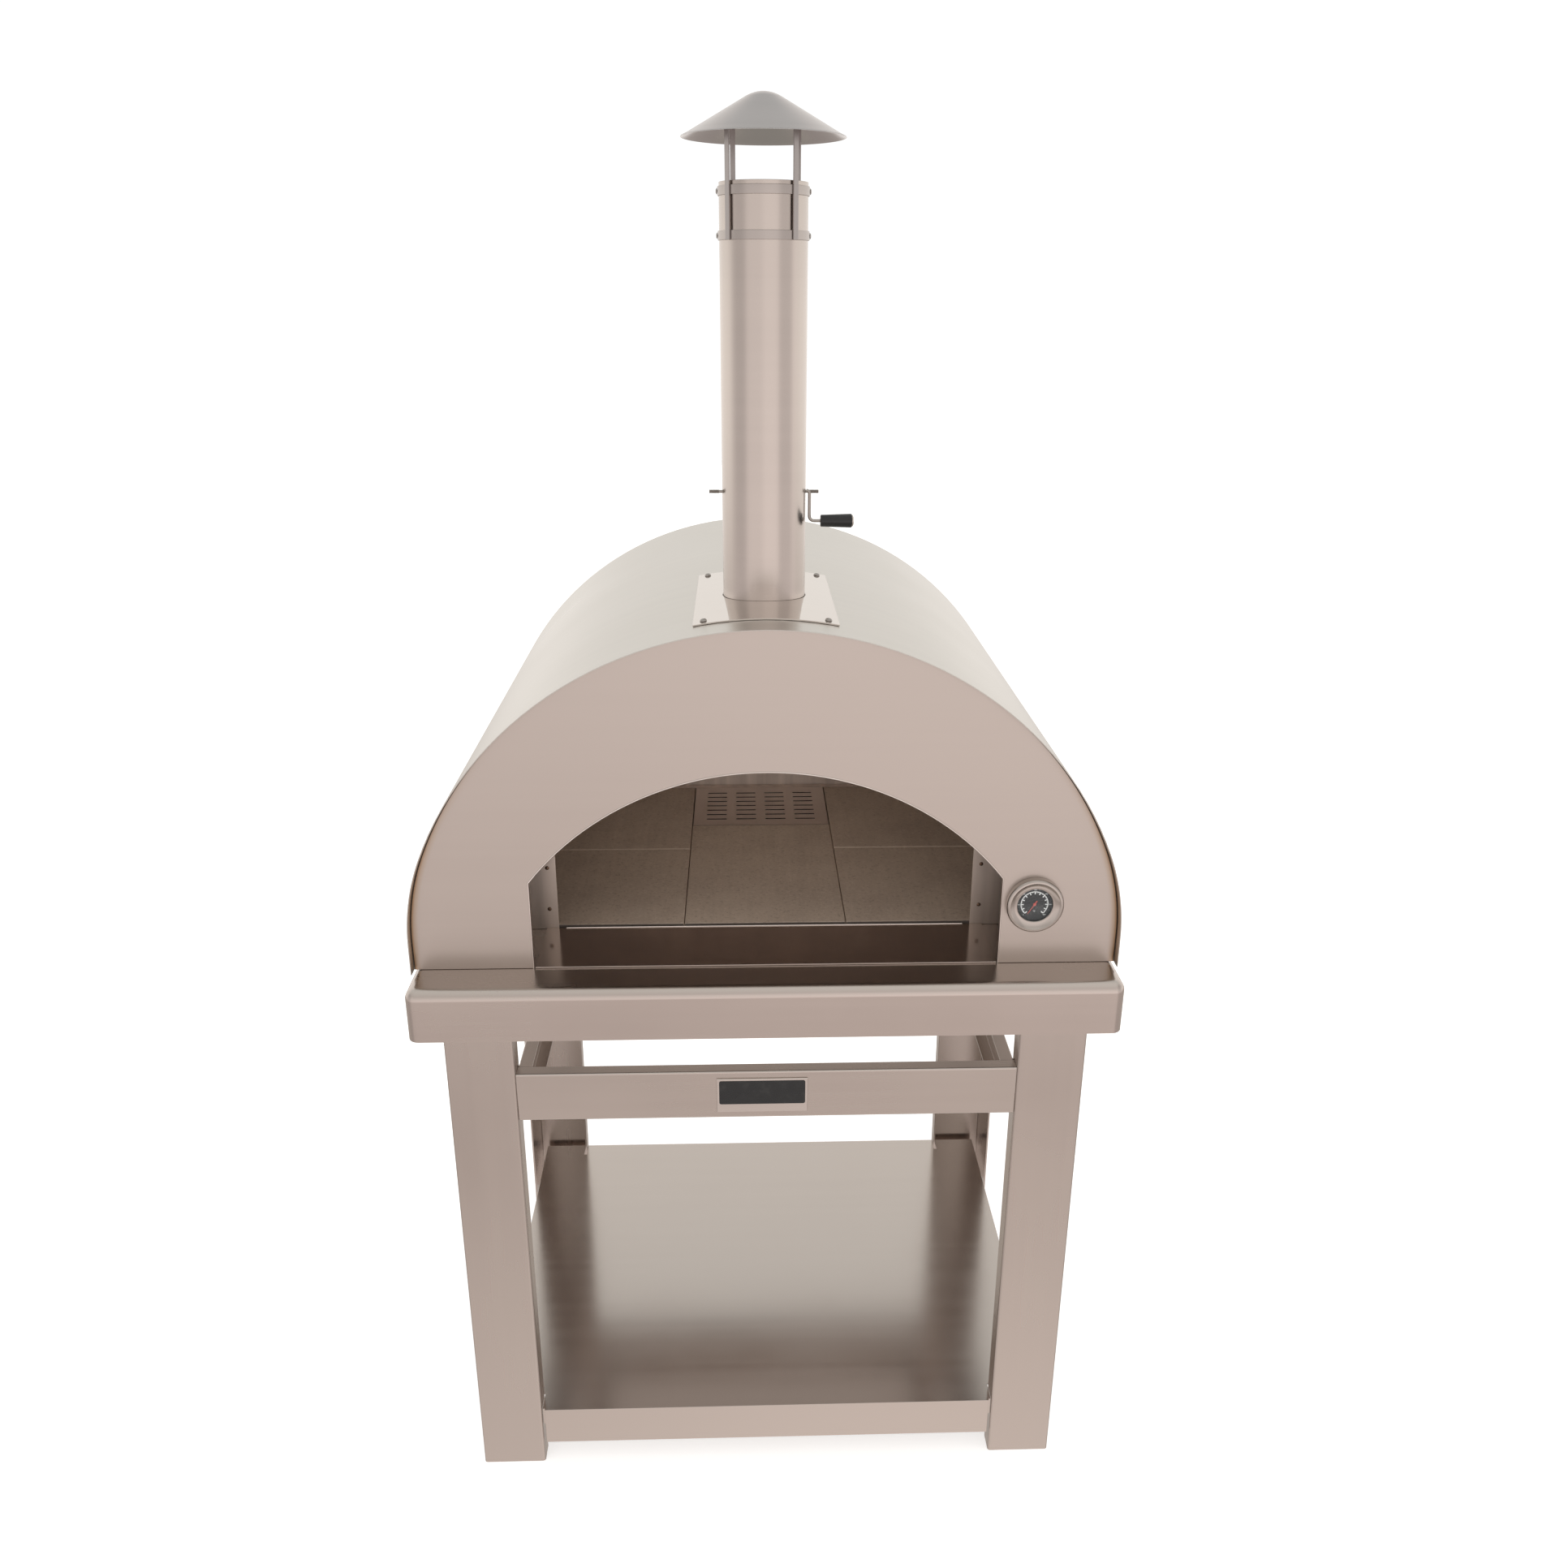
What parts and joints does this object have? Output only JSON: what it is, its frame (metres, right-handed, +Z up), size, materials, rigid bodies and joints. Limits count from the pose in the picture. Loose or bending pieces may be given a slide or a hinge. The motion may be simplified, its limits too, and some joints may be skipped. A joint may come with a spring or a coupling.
{
  "type": "wood fired pizza oven",
  "caption": "Arched stainless wood fired pizza oven on a folded steel stand with a shelf, a flue with butterfly damper and rain cap, tiled hearth, ash grate and dial thermometer.",
  "frame": {"origin": "on the floor, under the middle of the worktop, at the centre of the bounding box's underside", "axes": "+Z up, the oven's mouth faces -Y, +X to the right as one looks into the mouth"},
  "size_m": [1, 0.93, 1.9962],
  "materials": {
    "stand_steel": "brushed",
    "worktop_steel": "brushed",
    "shell_steel": "brushed",
    "panel_steel": "brushed",
    "flue_steel": "brushed",
    "chamber_steel": "brushed",
    "bright_steel": "polished",
    "pan_steel": "satin",
    "refractory_tile": "matte",
    "mineral_board": "matte",
    "mineral_wool": "matte",
    "black_grip": "satin",
    "dial_face": "satin",
    "dial_glass": "gloss",
    "needle_red": "satin"
  },
  "bodies": {
    "oven": {"leg_front_left": "stand_steel", "leg_front_right": "stand_steel", "leg_rear_left": "stand_steel", "leg_rear_right": "stand_steel", "front_rail": "stand_steel", "rear_rail": "stand_steel", "side_rail_left": "stand_steel", "side_rail_right": "stand_steel", "shelf": "stand_steel", "worktop": "worktop_steel", "outer_shell": "shell_steel", "rear_panel": "shell_steel", "front_panel": "panel_steel", "flue_pipe": "flue_steel", "rain_cap": "flue_steel", "cap_strut_1": "flue_steel", "cap_strut_2": "flue_steel", "cap_strut_3": "flue_steel", "cap_strut_4": "flue_steel", "cap_band_upper": "flue_steel", "cap_band_lower": "flue_steel", "chamber_front_wall": "chamber_steel", "chamber_vault": "chamber_steel", "chamber_rear_wall": "chamber_steel", "hearth_rear_strip": "chamber_steel", "badge_plate": "bright_steel", "sill_plate": "bright_steel", "flue_saddle": "bright_steel", "saddle_bolt_1": "bright_steel", "saddle_bolt_2": "bright_steel", "saddle_bolt_3": "bright_steel", "saddle_bolt_4": "bright_steel", "band_screw_upper_left": "bright_steel", "band_screw_upper_right": "bright_steel", "band_screw_lower_left": "bright_steel", "band_screw_lower_right": "bright_steel", "thermometer_bezel": "bright_steel", "thermometer_probe": "bright_steel", "thermometer_nut": "bright_steel", "base_pan": "pan_steel", "floor_tile_centre": "refractory_tile", "floor_tile_front_left": "refractory_tile", "floor_tile_front_right": "refractory_tile", "floor_tile_rear_left": "refractory_tile", "floor_tile_rear_right": "refractory_tile", "hearth_board": "mineral_board", "insulation_blanket": "mineral_wool", "insulation_rear": "mineral_wool", "thermometer_dial": "dial_face", "thermometer_lens": "dial_glass"},
    "damper": {"damper_shaft": "bright_steel", "damper_blade": "chamber_steel", "damper_screw_1": "bright_steel", "damper_screw_2": "bright_steel", "damper_crank": "bright_steel", "damper_grip": "black_grip", "grip_end_cap": "bright_steel"},
    "needle": {"thermometer_needle": "needle_red"},
    "grate": {"ash_grate": "bright_steel"}
  },
  "joints": [
    {"name": "damper_turn", "type": "hinge", "parent": "oven", "child": "damper", "pos_m": [0, -0.203, 1.4994], "axis": [1, 0, 0], "continuous": true},
    {"name": "needle_turn", "type": "hinge", "parent": "oven", "child": "needle", "pos_m": [0.376, -0.3985, 0.9556], "axis": [0, 1, 0], "range_deg": [0, 283]},
    {"name": "grate_lift", "type": "slide", "parent": "oven", "child": "grate", "axis": [0, 0, 1], "range_m": [0, 0.2]}
  ]
}
